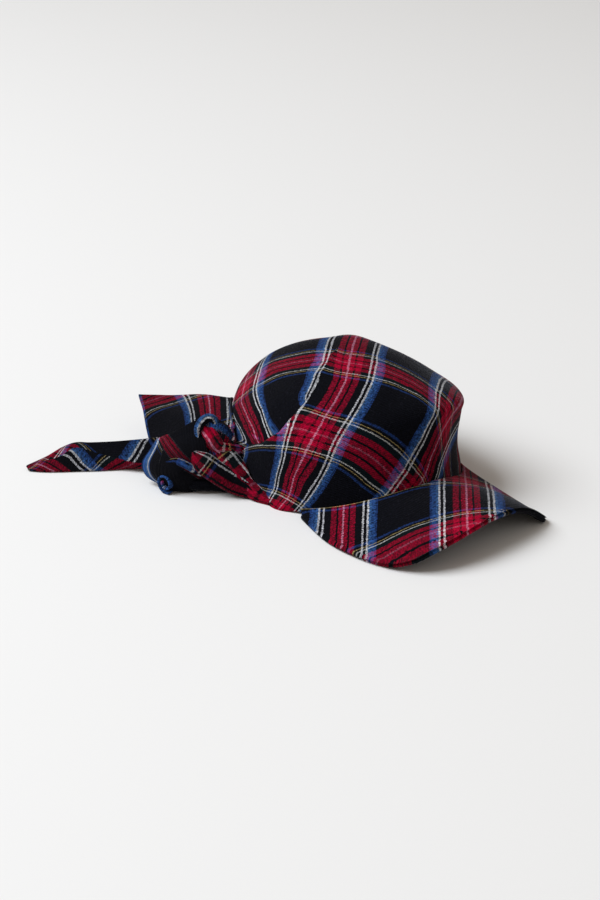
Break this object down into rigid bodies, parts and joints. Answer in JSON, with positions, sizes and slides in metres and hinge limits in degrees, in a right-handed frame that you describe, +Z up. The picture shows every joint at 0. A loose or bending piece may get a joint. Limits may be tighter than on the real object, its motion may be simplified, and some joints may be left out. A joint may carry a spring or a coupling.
{
  "type": "visor cap",
  "caption": "Soft plaid flannel cap with a stiff arched visor, its cloth folded over the crown and tied at the side in a knot with loose cloth ends",
  "frame": {"origin": "centre of the bottom of the bounding box, on the surface the cap lies on", "axes": "+Z up from the surface to the crown's top, -Y the way the visor points, -X the side of the knot"},
  "size_m": [0.2852, 0.3486, 0.109],
  "materials": {
    "plaid_flannel": "brushed woven flannel, soft nap, matte",
    "dark_facing": "plain woven cotton, matte"
  },
  "bodies": {
    "root": {"crown": "plaid_flannel", "visor_upper": "plaid_flannel", "visor_facing": "dark_facing", "knot": "plaid_flannel", "tail_long": "plaid_flannel", "tail_wide": "plaid_flannel", "tail_short": "plaid_flannel"}
  },
  "joints": []
}
